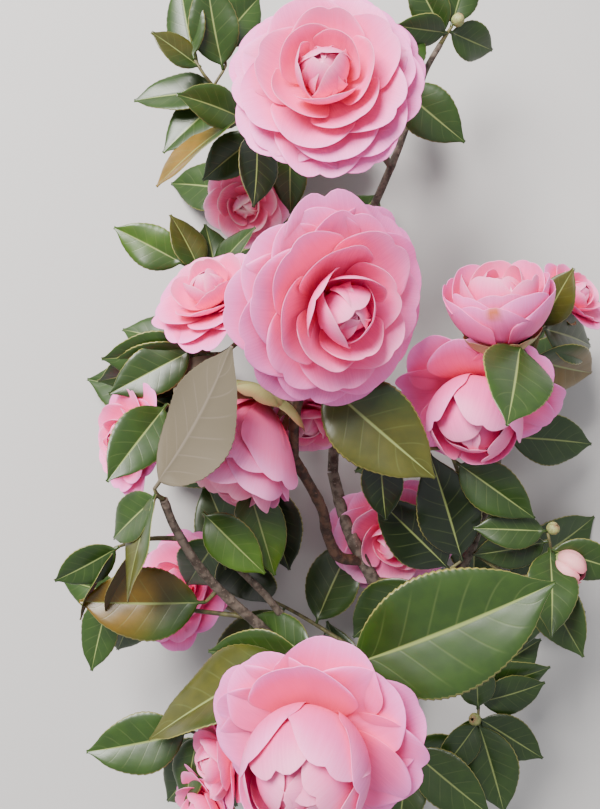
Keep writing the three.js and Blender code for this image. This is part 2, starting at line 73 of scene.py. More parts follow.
# Each limb's path, then its radius at the foot and at the tip. A path may start at [limb, share], a
# place on a limb that comes before it.
LIMBS = {
    "main_stem": [[CUT_CENTRE, [57, -205, 13], [55, -155, 22], [54, -130, 27]], 5.6, 4.2],
    "bough_grey_low": [
        [["main_stem", 0.97], [40, -95, 44], [33, -82, 50], [24, -62, 53], [17, -35, 51]],
        3.8, 2.9,
    ],
    "bough_grey_high": [[["bough_grey_low", 1], [20, 10, 50], [31, 66, 54], [38, 102, 60]], 2.8, 2.2],
    "bough_grey_tip": [[["bough_grey_high", 1], [50, 130, 65], [62, 165, 74], [69, 177, 78]], 2.1, 1.4],
    "bough_dark": [
        [["bough_grey_low", 0.55], [20, -78, 58], [14, -66, 66], [11, -52, 75], [-3, -25, 94]],
        2.9, 2.4,
    ],
    "bough_knee": [[["bough_dark", 1], [-2, -4, 108], [4, 16, 114], [10, 34, 118]], 2.4, 2.1],
    "bough_left": [
        [["main_stem", 0.95], [0, -124, 74], [-24, -101, 92], [-43, -79, 106],
            [-55, -55, 122], [-59, -41, 131]],
        3.2, 1.8,
    ],
    "bough_left_inner": [[["bough_left", 0.31], [-6, -107, 78], [-18, -90, 88], [-31, -75, 98]], 2.2, 1.5],
    "bough_right": [
        [["main_stem", 0.96], [78, -102, 42], [93, -60, 56], [99, -24, 70], [97, 2, 84], [93, 18, 96]],
        3.2, 2,
    ],
    "twig_top": [[["bough_grey_tip", 0.25], [34, 130, 84], [22, 133, 106], [14, 133, 120]], 1.9, 1.6],
    "twig_bottom": [[["bough_left", 0.33], [9, -121, 90], [10, -118, 118], [12, -118, 139]], 2.1, 1.6],
    "twig_bottom_left": [[["bough_left", 0.17], [4, -150, 72], [-14, -153, 92], [-22, -153, 104]], 2, 1.5],
    "twig_left": [[["bough_knee", 0.4], [-14, 16, 100], [-24, 28, 97], [-32, 37, 98]], 1.7, 1.4],
    "twig_left_low": [[["bough_dark", 0.97], [-24, -16, 82], [-42, -12, 84], [-56, -14, 90]], 1.8, 1.4],
}
DARK_STEMS = ("bough_dark", "bough_knee", "twig_left", "twig_left_low")


def row(*values):
    return np.array(values, dtype=float)


mount = next(m for m in frame["record"]["mounts"] if m["name"] == "cut_end")
SHIFT = row(*mount["pos_m"]) - row(*CUT_CENTRE) / 1000
chance = np.random.default_rng(SEED)
lines = {}


def unit(rows):
    """Each row over its own length."""
    return rows / np.maximum(np.linalg.norm(rows, axis=-1, keepdims=True), 1e-12)


def ease(low, high, values):
    """0 at low, 1 at high, 3t^2 - 2t^3 between them, and level past both."""
    t = np.clip((values - low) / (high - low), 0, 1)
    return t * t * (3 - 2 * t)


def curve_points(points, count):
    """count + 1 evenly spaced points on the centripetal Catmull-Rom curve through points: on each span
    the cubic whose ends are two neighbours and whose tangents weigh the spans by the square root of
    their lengths."""
    knots = np.array(points, dtype=float)
    knots = np.vstack([2 * knots[0] - knots[1], knots, 2 * knots[-1] - knots[-2]])
    gaps = np.sqrt(np.linalg.norm(np.diff(knots, axis=0), axis=1))[:, None]
    g0, g1, g2 = gaps[:-2], gaps[1:-1], gaps[2:]
    a, b, c, d = knots[:-3], knots[1:-2], knots[2:-1], knots[3:]
    out = g1 * ((b - a) / g0 - (c - a) / (g0 + g1) + (c - b) / g1)
    into = g1 * ((c - b) / g1 - (d - b) / (g1 + g2) + (d - c) / g2)
    t = np.linspace(0, len(b), CURVE_STEPS + 1)
    span = np.minimum(t.astype(int), len(b) - 1)
    w = (t - span)[:, None]
    b, c, out, into = b[span], c[span], out[span], into[span]
    curve = b + out * w + (3 * (c - b) - 2 * out - into) * w**2 + (2 * (b - c) + out + into) * w**3
    reach = np.concatenate([[0], np.cumsum(np.linalg.norm(np.diff(curve, axis=0), axis=1))])
    even = np.linspace(0, reach[-1], count + 1)
    return np.stack([np.interp(even, reach, curve[:, k]) for k in range(3)], axis=1)


def length_of(points):
    """The length of the curve through points: the sum of its CURVE_STEPS steps."""
    return np.linalg.norm(np.diff(curve_points(points, CURVE_STEPS), axis=0), axis=1).sum()


def on_line(line, share):
    """The point that share of the way along a line of evenly spaced points."""
    at = share * (len(line) - 1)
    low = min(int(at), len(line) - 2)
    return line[low] + (line[low + 1] - line[low]) * (at - low)


def through(path):
    """The points of a path, whose first may be [limb, share], a place on the limb that carries it."""
    first = on_line(lines[path[0][0]], path[0][1]) if isinstance(path[0][0], str) else path[0]
    return np.vstack([first, *path[1:]])


def line_of(path):
    """The middle line of a limb or a twig, about one point every LINE_STEP."""
    points = through(path)
    return curve_points(points, max(2, round(length_of(points) / LINE_STEP)))


def carried(line):
    """Unit side and other directions for each point of a line, carried along it without twist: each side
    is the last one less its part along the line."""
    ahead = unit(np.gradient(line, axis=0))
    start = row(1, 0, 0) if abs(ahead[0, 0]) < 0.9 else row(0, 1, 0)
    side = np.empty_like(line)
    for i, way in enumerate(ahead):
        start = unit(start - start @ way * way)
        side[i] = start
    return side, np.cross(ahead, side)


class Growth:
    """Surfaces of one kind, joined into one mesh: closed rings of corners, with values for each corner."""

    def __init__(self):
        self.corners, self.fours, self.threes, self.values = [], [], [], {}
        self.count = 0

    def add(self, rings, **values):
        """Joins ring i to ring i + 1, and closes the two end rings by strips across them. A ring turns
        left about the way ahead, and has an even number of corners."""
        stations, sides = rings.shape[:2]
        index = np.arange(stations * sides).reshape(stations, sides) + self.count
        beside = np.roll(index, -1, axis=1)
        walls = np.stack([index[:-1], beside[:-1], beside[1:], index[1:]], axis=-1)
        self.fours.append(walls.reshape(-1, 4))
        j = np.arange(1, sides // 2 - 1)
        for ring, way in ((index[0], -1), (index[-1], 1)):
            strips = np.stack([ring[j], ring[j + 1], ring[sides - j - 1], ring[sides - j]], axis=-1)
            self.fours.append(strips[:, ::way])
            for corner in (0, sides // 2):
                self.threes.append(ring[[corner - 1, corner, corner + 1]][None, ::way])
        self.corners.append(rings.reshape(-1, 3))
        for name, value in values.items():
            self.values.setdefault(name, []).append(value.reshape(-1, 3))
        self.count += stations * sides

    def piece(self, name, material):
        """The object of one mesh, in metres at its place in the frame."""
        fours = np.vstack(self.fours).astype(np.int32)
        threes = np.vstack(self.threes).astype(np.int32)
        corners = np.vstack(self.corners) / 1000 + SHIFT
        starts = np.concatenate([np.arange(len(fours)) * 4, fours.size + np.arange(len(threes)) * 3])
        mesh = bpy.data.meshes.new(name)
        mesh.vertices.add(len(corners))
        mesh.vertices.foreach_set("co", corners.ravel())
        mesh.loops.add(fours.size + threes.size)
        mesh.loops.foreach_set("vertex_index", np.concatenate([fours.ravel(), threes.ravel()]))
        mesh.polygons.add(len(starts))
        mesh.polygons.foreach_set("loop_start", starts.astype(np.int32))
        mesh.polygons.foreach_set("use_smooth", np.ones(len(starts), dtype=bool))
        mesh.update(calc_edges=True)
        for key, rows in self.values.items():
            values = mesh.attributes.new(key, "FLOAT_VECTOR", "POINT")
            values.data.foreach_set("vector", np.vstack(rows).astype(np.float32).ravel())
        mesh.validate()
        grown = bpy.data.objects.new(name, mesh)
        bpy.context.scene.collection.objects.link(grown)
        mesh.materials.append(material)
        return grown


def tube(line, radius, sides):
    """Rings about a line: centre + radius (cos a side + sin a other), a going once round. radius is a
    number for each point of the line, or for each corner."""
    side, other = carried(line)
    a = np.arange(sides) * 2 * math.pi / sides
    radius = np.broadcast_to(np.reshape(radius, (len(line), -1)), (len(line), sides))[..., None]
    spoke = np.cos(a)[None, :, None] * side[:, None] + np.sin(a)[None, :, None] * other[:, None]
    return line[:, None] + radius * spoke


def bark_limb(path, foot, tip):
    """A limb's line and its radius with relief: the even taper, times 1 + a swelling at each leaf scar,
    a ring beside it, ridges along the limb that wander round it, and pits."""
    points = through(path)
    length = length_of(points)
    line = curve_points(points, max(6, round(length / RING_GAP)))
    along = np.linspace(0, length, len(line))[:, None]
    a = (np.arange(LIMB_SIDES) * 2 * math.pi / LIMB_SIDES)[None]
    gap = chance.uniform(*SCAR_GAP)
    scar = np.arange(gap, length, gap)[None]
    swell = np.exp(-(((along - scar) / SCAR_WIDTH) ** 2)).sum(axis=1, keepdims=True)
    past = along - scar - SCAR_RING_AT
    rings = np.exp(-((past / SCAR_RING_WIDTH) ** 2)).sum(axis=1, keepdims=True)
    phase = chance.uniform(0, 6, 4)
    ridges = np.sin(5 * a + phase[0] + 0.2 * along) + 0.7 * np.sin(9 * a + phase[1] - 0.33 * along)
    pits = np.sin(1.9 * along + phase[2]) * np.sin(3 * a + phase[3] + 0.7 * along)
    taper = foot + (tip - foot) * along / length
    relief = 1 + SCAR_SWELL * swell + SCAR_RING_SWELL * rings + RIDGE_SWELL * ridges + PIT_SWELL * pits
    return line, taper * relief


class Finish:
    """A material with one Principled shader, and short ways to make and join its nodes. A value is
    another node's socket or a constant."""

    def __init__(self, name):
        self.material = bpy.data.materials.new(name)
        self.material.use_nodes = True
        self.nodes = self.material.node_tree.nodes
        self.shader = self.nodes["Principled BSDF"]

    def feed(self, socket, value):
        """Joins a value that is a socket, or sets a constant; a colour gets its alpha of 1."""
        if isinstance(value, bpy.types.NodeSocket):
            self.material.node_tree.links.new(value, socket)
        else:
            socket.default_value = (*value, 1) if socket.type == "RGBA" else value

    def give(self, node, **inputs):
        """Feeds a node's inputs by name, with _ for each space."""
        for name, value in inputs.items():
            self.feed(node.inputs[name.replace("_", " ")], value)

    def node(self, kind, settings=None, **inputs):
        """A new node of that kind with its settings and inputs."""
        node = self.nodes.new("ShaderNode" + kind)
        for name, value in (settings or {}).items():
            setattr(node, name, value)
        self.give(node, **inputs)
        return node

    def worked(self, operation, first, second=0):
        """The result of an operation of arithmetic on one or two values."""
        node = self.node("Math", {"operation": operation})
        self.feed(node.inputs[0], first)
        self.feed(node.inputs[1], second)
        return node.outputs[0]

    def blend(self, share, first, second, mode="MIX"):
        """Two colours mixed by share, or multiplied."""
        node = self.node("Mix", {"data_type": "RGBA", "blend_type": mode})
        for place, value in ((0, share), (6, first), (7, second)):
            self.feed(node.inputs[place], value)
        return node.outputs[2]

    def rise(self, value, low, high):
        """value's smooth rise from low to high, as 0 to 1."""
        node = self.node("MapRange", {"interpolation_type": "SMOOTHSTEP"}, From_Min=low, From_Max=high)
        self.feed(node.inputs["Value"], value)
        return node.outputs["Result"]

    def own_place(self):
        """The object's own coordinates."""
        return self.node("TexCoord").outputs["Object"]

    def noise(self, scale, detail, place=None):
        """Noise over a place, or else over the object's own coordinates."""
        place = self.own_place() if place is None else place
        return self.node("TexNoise", Vector=place, Scale=scale, Detail=detail).outputs["Fac"]

    def relief(self, height, strength, depth):
        """Relief of the shader's normal from a height, with its depth in metres."""
        bump = self.node("Bump", Height=height, Strength=strength, Distance=depth)
        self.give(self.shader, Normal=bump.outputs[0])


def bark(name, dark, pale, roughness):
    """Bark: two browns mottled over millimetres, with pale specks and a fine grain."""
    skin = Finish(name)
    mottle = skin.rise(skin.noise(scale=260, detail=6), 0.38, 0.62)
    browns = skin.blend(mottle, dark, pale)
    specks = skin.rise(skin.noise(scale=900, detail=2), 0.64, 0.72)
    speckled = skin.blend(specks, browns, tuple(PALE_SPECK * part for part in pale))
    skin.give(skin.shader, Base_Color=speckled, Roughness=roughness)
    skin.relief(skin.noise(scale=1200, detail=4), strength=0.5, depth=0.0004)
    return skin.material


grey_bark = bark("grey bark", GREY_DARK, GREY_PALE, 0.75)
brown_bark = bark("brown bark", BROWN_DARK, BROWN_PALE, 0.6)

for name, (path, foot, tip) in LIMBS.items():
    lines[name] = line_of(path)
    line, radius = bark_limb(path, foot, tip)
    rings = tube(line, radius, LIMB_SIDES)
    if name == "main_stem":
        rings[0, :, 1] = CUT_CENTRE[1]
        rings[1:, :, 1] = np.maximum(rings[1:, :, 1], CUT_CENTRE[1] + CUT_CLEARANCE)
        rings[:, :, 2] = np.maximum(rings[:, :, 2], FLOOR_CLEARANCE)
    limb = Growth()
    limb.add(rings)
    stem = limb.piece(name + "_bark", brown_bark if name in DARK_STEMS else grey_bark)
    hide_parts(name)
    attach(stem, "root")

# The cut end: a thin disc of the branch's pale wood, sunk in the main stem and a hair proud of its
# flat end. Its year rings are the turns of a sine over the distance from its centre, at YEAR_RADIANS
# a metre.

CUT_RADIUS = 4.6
CUT_PROUD = 0.08
CUT_SUNK = 0.3
CUT_SIDES = 24
YEAR_RADIANS = 5200
WOOD_PALE = (0.62, 0.5, 0.32)
WOOD_DARK = (0.42, 0.3, 0.17)

wood = Finish("cut wood")
away = wood.node("VectorMath", {"operation": "DISTANCE"})
wood.feed(away.inputs[0], wood.own_place())
wood.feed(away.inputs[1], row(*CUT_CENTRE) / 1000 + SHIFT)
bands = wood.worked("SINE", wood.worked("MULTIPLY", away.outputs["Value"], YEAR_RADIANS))
year = wood.rise(bands, 0.1, 0.9)
wood.give(wood.shader, Base_Color=wood.blend(year, WOOD_PALE, WOOD_DARK), Roughness=0.8)

disc = Growth()
disc_ends = row(*CUT_CENTRE) + np.outer((-CUT_PROUD, CUT_SUNK), (0, 1, 0))
disc.add(tube(disc_ends, row(CUT_RADIUS, CUT_RADIUS), CUT_SIDES))
cut = disc.piece("cut_wood", wood.material)
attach(cut, "root")

# Leafy twigs: thin young stems that grow from the boughs, with glossy, toothed leaves set along them.
# A leaf is a short stalk and an ovate blade, folded on its midrib, quilted between its veins and pale
# below. Its place, heading, rise, length and turn are as in the tables.

TWIG = 1.3
TWIG_TIP = 0.7
TWIG_SIDES = 10
YOUNG_DARK = (0.06, 0.05, 0.018)
YOUNG_PALE = (0.13, 0.12, 0.04)
# A leaf's greatest half width, how far it bends back, its quilt and its stalk's share go by its length,
# and its fold is a slope.
LEAF_SLENDER = 0.28
LEAF_FOLD = 0.22
LEAF_ARCH = 0.13
LEAF_THICK = 0.42
QUILT = 0.005
TIP_DRAWN = 0.35
RIM_DROP = 0.08
GROOVE = 0.3
GROOVE_WIDTH = 0.8
KEEL = 0.8
KEEL_WIDTH = 0.7
STALK = 0.85
STALK_SHARE = 0.06
VEINS = 7
VEIN_SLANT = 0.2
TOOTH_GAP = 3.0
TOOTH_DEPTH = 0.03
LEAST_TEETH = 8
RIM_WAVES = 1.6
LARGE_LEAF = 42
FINE_COLUMNS = row(1, 0.965, 0.86, 0.66, 0.42, 0.2, 0.05, 0)
PLAIN_COLUMNS = row(1, 0.95, 0.72, 0.4, 0.12, 0)
# The least and the most of what differs from leaf to leaf: width, sideways bend, fold, wave of the
# rim, where its waves start on either side, and twist.
LEAF_CHANCES = ((0.94, -0.05, 0.6, 0.03, 0, 0, -0.25), (1.06, 0.05, 1.3, 0.09, 6, 6, 0.25))
TINT_CHANCE = (0.85, 1.2)
SPRAYS = 6
FLOOR_GAP = 0.05
LEHMER = 16807
LEHMER_PRIME = 2147483647


def thicket(values):
    """Leaves by turns left and right of the last stretch of a twig, fanned by spread at its foot and
    less to its tip, with shares of chance from a Lehmer sequence: state times LEHMER, less whole
    LEHMER_PRIMEs."""
    state = values["seed"]

    def draw(low, high):
        nonlocal state
        state = state * LEHMER % LEHMER_PRIME
        return low + (high - low) * state / LEHMER_PRIME

    from_point, to_point = values["path"][-2:]
    heading = math.degrees(math.atan2(to_point[1] - from_point[1], to_point[0] - from_point[0]))
    count = values["count"]
    leaves = []
    for k in range(count):
        share = k / (count - 1)
        side = 1 if k % 2 else -1
        fan = side * values["spread"] * (1 - 0.85 * share)
        size = values["length"] * draw(0.85, 1.15)
        way = heading + fan + draw(-12, 12)
        leaves.append([0.35 + 0.65 * share, way, values["rise"] + draw(-10, 14), size, side * draw(0, 25)])
    return {"twigs": [values["path"]], "leaves": [leaves]}


# Each mass has the paths of its twigs, and for each twig its leaves as place, heading, rise, length and
# turn, and any buds as place, heading, rise and size. A place is a share of the way along the twig.
MASSES = {
    "leaves_broad": {
        "twigs": [[["twig_bottom", 0.62], [14, -118, 121], [19, -115, 126]]],
        "leaves": [[[1, 21, 12, 98, 0]]],
    },
    "leaves_top_left": {
        "twigs": [
            [["twig_top", 0.65], [-2, 142, 92], [-28, 146, 92], [-40, 147, 104], [-48, 157, 110]],
            [[-40, 147, 104], [-34, 159, 104], [-40, 165, 106]],
        ],
        "leaves": [
            [[0.78, -178, 0, 42, 25], [1, 104, 4, 38, -25],
                [0.95, 150, 31, 26, 20], [0.72, -143, 8, 42, 20]],
            [[0.9, 56, -8, 36, 10], [0.4, 104, 30, 40, -10], [1, 102, -16, 34, 40]],
        ],
    },
    "leaves_top_left_low": {
        "twigs": [[["twig_top", 0.4], [-8, 130, 80], [-23, 129, 98], [-27, 132, 108]]],
        "leaves": [
            [[0.95, 167, 45, 36, 10], [1, -147, 2, 50, 58], [0.75, -147, -10, 36, 0],
                [0.8, -86, 22, 40, -30], [0.5, -92, -14, 36, 20]],
        ],
    },
    "leaves_top_right": {
        "twigs": [[["bough_grey_tip", 1], [71, 180, 80], [74, 184, 83]]],
        "leaves": [
            [[0.4, 124, 22, 34, -20], [0.6, -171, 33, 30, -50], [0.9, 75, 5, 34, 10],
                [0.7, -7, -34, 34, 20]],
        ],
        "buds": [[[1, 40, 30, 8]]],
    },
    "leaves_top_right_low": {
        "twigs": [[["bough_grey_tip", 0.76], [52, 158, 84], [46, 152, 92]]],
        "leaves": [[[1, -42, 3, 42, 10], [0.8, 80, -10, 36, 0]]],
    },
    "leaves_left_upper": {
        "twigs": [[["twig_left", 0.7], [-28, 46, 82], [-44, 62, 78], [-56, 68, 82]]],
        "leaves": [
            [[1, 152, 12, 38, 0], [0.86, 112, 8, 32, 30], [0.78, 52, 24, 34, -50],
                [0.7, 100, -10, 34, 10], [0.62, 124, -14, 48, 50]],
        ],
    },
    "leaves_left_middle": {
        "twigs": [[["twig_left", 0.85], [-38, 24, 92], [-50, 26, 97]]],
        "leaves": [
            [[1, -150, 14, 44, 5], [0.9, -172, 6, 46, -20], [0.75, 162, -10, 46, 15],
                [0.7, -163, -4, 58, -35], [0.6, -122, 12, 34, 170], [0.5, -100, 4, 34, 120]],
        ],
    },
    "leaves_left_droop": {
        "twigs": [[["twig_left_low", 0.8], [-54, -4, 104], [-60, 0, 114]]],
        "leaves": [[[1, -124, 36, 45, -4], [0.3, 148, -22, 38, 22]]],
    },
    "leaves_left_lower": {
        "twigs": [[["bough_left", 1], [-61, -39, 134], [-62, -36, 137]]],
        "leaves": [[[1, 53, 14, 72, 142], [0.7, -114, -10, 52, 60], [0.5, -139, -26, 38, 30]]],
    },
    "leaves_left_outer": {
        "twigs": [[["bough_left", 0.88], [-70, -61, 112], [-85, -66, 104]]],
        "leaves": [[[1, -125, -7, 40, 80], [0.95, -148, 4, 34, -20], [0.5, -126, -20, 46, 100]]],
    },
    "leaves_left_under": {
        "twigs": [[["bough_left", 0.7], [-42, -90, 102], [-44, -92, 101]]],
        "leaves": [[[1, -179, 9, 58, 0]]],
    },
    "leaves_left_far": {
        "twigs": [[["bough_left", 0.58], [-66, -98, 82], [-93, -92, 78]]],
        "leaves": [[[1, -105, 6, 40, 20], [0.8, -113, -23, 38, -20], [0.9, 170, -10, 36, 0]]],
    },
    "leaves_centre_left": {
        "twigs": [[["bough_left_inner", 1], [-37, -64, 100], [-45, -50, 103]]],
        "leaves": [[[1, -44, 12, 40, 10], [0.5, -126, -34, 44, 0], [0.3, -60, -34, 50, 20]]],
    },
    "leaves_knee": {
        "twigs": [[["bough_dark", 0.96], [-17, -31, 95], [-25, -36, 100]]],
        "leaves": [[[1, -72, 4, 46, -14], [0.72, -76, -14, 54, 10]]],
    },
    "leaves_centre": {
        "twigs": [[["bough_knee", 0.6], [6, 11, 109], [9, 12, 106]]],
        "leaves": [[[1, -42, 12, 69, 6]]],
    },
    "leaves_centre_right": {
        "twigs": [[["bough_grey_low", 0.44], [66, -90, 60], [81, -78, 70]]],
        "leaves": [[[1, 108, 20, 58, 0], [0.84, 135, 18, 54, -10], [0.5, -136, -20, 54, 10]]],
    },
    "leaves_right_inner": {
        "twigs": [[["bough_right", 0.66], [81, -38, 76], [71, -22, 86], [50, -22, 92], [38, -20, 94]]],
        "leaves": [[[0.44, -36, 14, 46, 10], [1, -88, -3, 36, 5], [0.8, 200, -28, 34, 20]]],
    },
    "leaves_right": {
        "twigs": [[["bough_right", 0.98], [104, 17, 104], [102, 20, 118], [96, 26, 127]]],
        "leaves": [[[1, -117, 57, 57, 0]]],
    },
    "leaves_far_right": {
        "twigs": [[["bough_right", 0.9], [110, 22, 92], [114, 36, 94]]],
        "leaves": [[[1, 73, 35, 32, -20], [0.6, -12, -32, 52, 30], [1, -6, -38, 50, -10]]],
    },
    "leaves_right_low": {
        "twigs": [[["bough_right", 0.41], [110, -88, 62], [124, -78, 74], [121, -62, 80]]],
        "leaves": [
            [[0.86, -98, 44, 46, 0], [0.6, -68, 22, 46, 20], [0.85, -16, 10, 38, 10], [1, 176, 7, 36, 15],
                [0.92, -160, -23, 40, -15], [0.5, -94, -15, 48, 0]],
        ],
        "buds": [[[0.78, -30, 30, 17], [1, 40, 40, 8]]],
    },
    "leaves_low_right": {
        "twigs": [[["main_stem", 0.81], [76, -150, 40], [92, -148, 50], [91, -162, 60]]],
        "leaves": [
            [[1, -128, 15, 34, 0], [0.95, -101, -18, 34, 10], [0.9, 96, 28, 34, 0], [0.85, 14, 7, 36, 0],
                [0.97, -30, 11, 38, 0], [0.7, 14, 9, 42, 10], [1, -73, 8, 48, 10], [0.62, 30, -5, 50, -10]],
        ],
        "buds": [[[0.98, 160, 50, 8], [0.8, 20, 60, 8]]],
    },
    "leaves_lower_left": {
        "twigs": [[["twig_bottom", 0.37], [3, -116, 108], [-4, -111, 120]]],
        "leaves": [
            [[1, -153, 0, 76, 62], [0.5, -178, -8, 48, -10], [0.4, -158, -16, 66, 10],
                [0.2, 157, -30, 44, 20]],
        ],
    },
    "leaves_bottom_left": {
        "twigs": [[["twig_bottom_left", 0.85], [-32, -160, 96], [-51, -152, 101]]],
        "leaves": [
            [[1, -168, 12, 48, 5], [0.9, -104, 0, 38, 40], [0.7, -80, -14, 42, 10],
                [0.6, -130, -20, 54, 20]],
        ],
    },
    "leaves_bottom_right": {
        "twigs": [[["main_stem", 0.63], [56, -177, 44], [55, -174, 64]]],
        "leaves": [
            [[1, -37, 20, 50, 0], [0.85, -98, 24, 44, 10], [0.7, -21, 0, 46, 10], [0.6, 200, 10, 44, 0]],
        ],
    },
    "leaves_back_top": thicket({
        "path": [["bough_grey_tip", 0.36], [40, 150, 34], [20, 168, 22]],
        "count": 4, "length": 60, "spread": 75, "rise": -18, "seed": 11,
    }),
    "leaves_back_top_left": thicket({
        "path": [["bough_grey_high", 0.69], [4, 92, 32], [-28, 116, 24]],
        "count": 4, "length": 60, "spread": 80, "rise": -15, "seed": 23,
    }),
    "leaves_back_left": thicket({
        "path": [["bough_grey_high", 0.11], [-18, -14, 34], [-56, 0, 26]],
        "count": 4, "length": 62, "spread": 80, "rise": -18, "seed": 37,
    }),
    "leaves_back_low_left": thicket({
        "path": [["bough_left", 0.14], [-4, -112, 32], [-42, -96, 22]],
        "count": 4, "length": 62, "spread": 85, "rise": -13, "seed": 41,
    }),
    "leaves_back_right": thicket({
        "path": [["bough_right", 0.65], [112, -8, 40], [120, 26, 24]],
        "count": 4, "length": 62, "spread": 85, "rise": -14, "seed": 59,
    }),
    "leaves_back_low_right": thicket({
        "path": [["bough_right", 0.17], [92, -104, 24], [116, -96, 16]],
        "count": 4, "length": 60, "spread": 85, "rise": -10, "seed": 67,
    }),
    "leaves_back_bottom": thicket({
        "path": [["main_stem", 0.73], [24, -172, 22], [-10, -180, 20]],
        "count": 4, "length": 60, "spread": 80, "rise": -12, "seed": 71,
    }),
}

# Colours of the blades; dark is painted shade, a near-black green for leaves that lie in shade between the
# blooms. COLOURED names those that aren't green, by their twig and leaf.
TINTS = {
    "green": (0.018, 0.044, 0.005), "olive": (0.05, 0.052, 0.006), "bright": (0.034, 0.08, 0.003),
    "dark": (0.006, 0.013, 0.003), "amber": (0.12, 0.068, 0.002), "brown": (0.15, 0.085, 0.008),
}
# Each dark entry below is painted shade on a leaf that lies in shade, not a colour of its own.
COLOURED = {
    "leaves_top_left": {(0, 2): "olive", (1, 2): "bright"},
    "leaves_top_left_low": {(0, 1): "brown", (0, 3): "dark"},
    "leaves_left_upper": {(0, 0): "bright", (0, 1): "olive"},
    "leaves_left_lower": {(0, 0): "olive", (0, 1): "olive"},
    "leaves_left_outer": {(0, 0): "bright", (0, 2): "amber"},
    "leaves_left_under": {(0, 0): "amber"},
    "leaves_centre": {(0, 0): "olive"},
    "leaves_centre_left": {(0, 0): "bright", (0, 2): "dark"},
    "leaves_knee": {(0, 0): "bright", (0, 1): "dark"},
    "leaves_centre_right": {(0, 0): "dark", (0, 1): "dark"},
    "leaves_right_inner": {(0, 1): "dark"},
    "leaves_far_right": {(0, 0): "olive", (0, 1): "amber"},
    "leaves_lower_left": {(0, 0): "olive"},
}
VEIN_COLOUR = (0.16, 0.2, 0.06)
MIDRIB_COLOUR = (0.24, 0.29, 0.09)
RIM_COLOUR = (0.4, 0.36, 0.1)
UNDERSIDE = (0.1, 0.08, 0.05)
UNDERSIDE_VEIN = (0.145, 0.118, 0.088)
UPPER_ROUGHNESS = 0.34
UNDERSIDE_ROUGHNESS = 0.62


def aim(heading, rise):
    """The direction of a heading in the picture plane and a rise toward +Z, in degrees."""
    heading, rise = math.radians(heading), math.radians(rise)
    return row(math.cos(rise) * math.cos(heading), math.cos(rise) * math.sin(heading), math.sin(rise))


def turned(vector, axis, angle):
    """vector turned about a unit axis by an angle in radians: v cos + (axis x v) sin + what v has along
    the axis times 1 - cos."""
    along = axis * (axis @ vector) * (1 - math.cos(angle))
    return vector * math.cos(angle) + np.cross(axis, vector) * math.sin(angle) + along


def both_sides(columns):
    """One row of places across: the columns from 1 down to 0, and on to -1."""
    return np.concatenate([columns, -columns[-2::-1]])[None]


def skin_rings(top, under):
    """One ring a station: the top's corners from rim to rim, and the underside's back without its rims."""
    return np.concatenate([top, under[:, -2:0:-1]], axis=1)


def leaf(blades, root, heading, rise, length, turn, tint):
    """A blade's point at s along and x across: middle(s) + x half(s) sideways + lift(s, x) flat, where
    middle bends back by LEAF_ARCH s^2, half is an ovate outline with forward teeth, and lift is a fold
    from the grooved midrib, a rippled rim turned down at its edge, and a quilt of cos(2 pi VEINS (t -
    VEIN_SLANT |x|)). t is s past the stalk, and the underside has a keel along the midrib."""
    along = aim(heading, rise)
    up = unit(row(0, 0, 1) - along * along[2])
    up = turned(up, along, math.radians(turn))
    across = np.cross(up, along)
    x = both_sides(FINE_COLUMNS if length > LARGE_LEAF else PLAIN_COLUMNS)
    off = np.abs(x)
    teeth = max(LEAST_TEETH, round(length / TOOTH_GAP))
    s = np.linspace(0, 1, 4 * teeth + 1)[:, None]
    t = np.clip((s - STALK_SHARE) / (1 - STALK_SHARE), 0, 1)
    wide, sway, fold, wave, phase, other, spin = chance.uniform(*LEAF_CHANCES)

    outline = np.sin(math.pi * t**0.8) ** 0.85 * (1 - TIP_DRAWN * ease(0.8, 1, t))
    tooth = 1 + TOOTH_DEPTH * (((teeth * s) % 1) - 0.5) * (off > 0.9)
    half = np.maximum(STALK, LEAF_SLENDER * wide * length * outline * tooth)
    middle = root + length * (along * s + across * sway * s**2 - up * LEAF_ARCH * s**2)
    ahead = unit(np.gradient(middle, axis=0))
    twist = spin * s * s
    flat = unit(up * np.cos(twist) + across * np.sin(twist))
    flat = unit(flat - ahead * np.sum(flat * ahead, axis=1, keepdims=True))
    sideways = np.cross(flat, ahead)

    w = x * half
    blade = ease(0, 0.1, t)
    ripple = np.sin(2 * math.pi * RIM_WAVES * s + np.where(x > 0, phase, other))
    quilt = QUILT * length * np.cos(2 * math.pi * VEINS * (t - off * VEIN_SLANT)) * off * (1 - off)
    lift = LEAF_FOLD * fold * (np.sqrt(w**2 + 0.8) - 0.9) - RIM_DROP * half * off**6
    groove = GROOVE * np.exp(-((w / GROOVE_WIDTH) ** 2))
    lift = blade * (lift + wave * half * x**2 * ripple + quilt - groove)
    thick = blade * LEAF_THICK * (1 - off**24) + (1 - blade) * 2 * STALK * np.sqrt(1 - x**2)
    keel = blade * KEEL * (1 - 0.7 * s) * np.exp(-((w / KEEL_WIDTH) ** 2))
    sheet = middle[:, None] + w[..., None] * sideways[:, None] + lift[..., None] * flat[:, None]
    top = sheet + (thick / 2)[..., None] * flat[:, None]
    under = sheet - (thick / 2 + keel * (off < 1))[..., None] * flat[:, None]
    under[..., 2] = np.maximum(under[..., 2], FLOOR_GAP)
    top[..., 2] = np.maximum(top[..., 2], FLOOR_GAP + thick)

    over = np.stack(np.broadcast_arrays(t, x, np.where(off == 1, 0.5, 1)), axis=-1)
    below = over * (1, 1, 0)
    still_green = ease(0.55, 0.05, t - 0.25 * x)[..., None]
    tints = tint + still_green * (np.minimum(tint, row(*TINTS["green"])) - tint)
    blades.add(skin_rings(top, under), place=skin_rings(over, below), tint=skin_rings(tints, tints))


